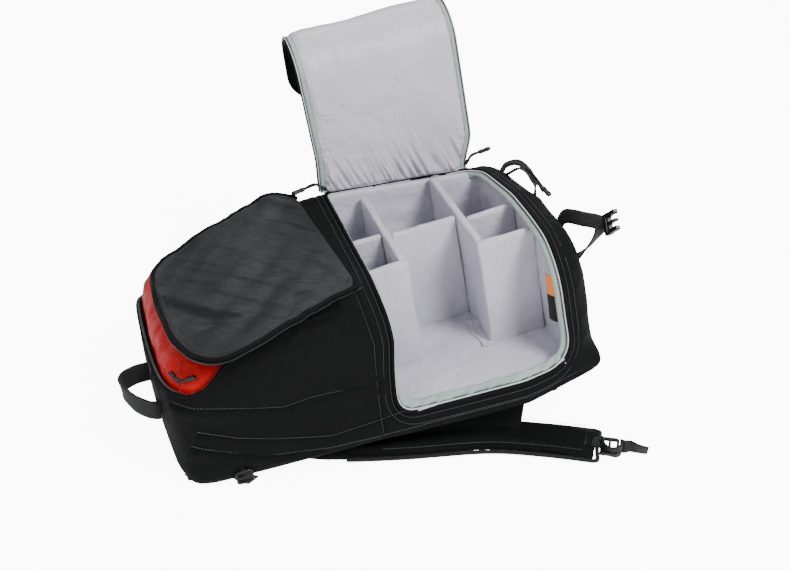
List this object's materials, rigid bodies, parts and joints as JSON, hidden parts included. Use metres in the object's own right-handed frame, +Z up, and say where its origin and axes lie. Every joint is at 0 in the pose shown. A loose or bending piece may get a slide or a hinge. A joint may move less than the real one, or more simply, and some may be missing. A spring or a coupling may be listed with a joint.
{
  "type": "camera backpack",
  "caption": "Soft camera backpack lying on its back, with its padded lid standing open over divided camera cells and a red-lined day compartment under a flap.",
  "frame": {"origin": "middle of the underside of the bounding box, on the floor that the pack lies on", "axes": "+X from the haul handle's end to the pack's bottom end, +Y from the near side to the lid's hinge side, +Z up; the pack lies on its back with its bottom end raised by 9.4 degrees"},
  "size_m": [0.5874, 0.467, 0.4418],
  "materials": {
    "black_nylon": "woven black nylon, matt",
    "coated_nylon": "coated charcoal nylon with a soft sheen",
    "grey_lining": "pale grey satin lining cloth",
    "sage_tape": "grey-green woven zip tape",
    "red_lining": "bright red lining nylon",
    "black_webbing": "ribbed black webbing",
    "black_plastic": "moulded black acetal, satin",
    "orange_label": "plain orange woven tab"
  },
  "bodies": {
    "root": {"shell": "black_nylon", "cell_liner": "grey_lining", "day_liner": "red_lining", "opening_tape": "sage_tape", "divider_left": "grey_lining", "divider_right": "grey_lining", "divider_middle": "grey_lining", "divider_left_rear": "grey_lining", "divider_left_front": "grey_lining", "divider_right_rear": "grey_lining", "divider_right_front": "grey_lining", "lid_panel": "black_nylon", "lid_tape": "sage_tape", "lid_lining": "grey_lining", "day_flap": "coated_nylon", "flap_binding": "black_webbing", "haul_handle": "black_webbing", "back_pad": "black_nylon", "lumbar_pad": "black_nylon", "buckle_webbing": "black_webbing", "prong_buckle": "black_plastic", "label_upper": "orange_label", "label_lower": "black_webbing", "edge_webbing_loop": "black_webbing", "top_ring": "black_plastic", "lid_pull_right": "black_plastic", "lid_pull_left": "black_plastic", "day_pull": "black_plastic", "bottom_pull": "black_plastic", "near_shoulder_strap": "black_nylon", "near_ladder_lock": "black_plastic", "near_strap_tail": "black_webbing", "far_shoulder_strap": "black_nylon", "far_ladder_lock": "black_plastic", "far_strap_tail": "black_webbing", "far_hip_wing": "black_nylon", "near_hip_wing": "black_nylon"}
  },
  "joints": []
}
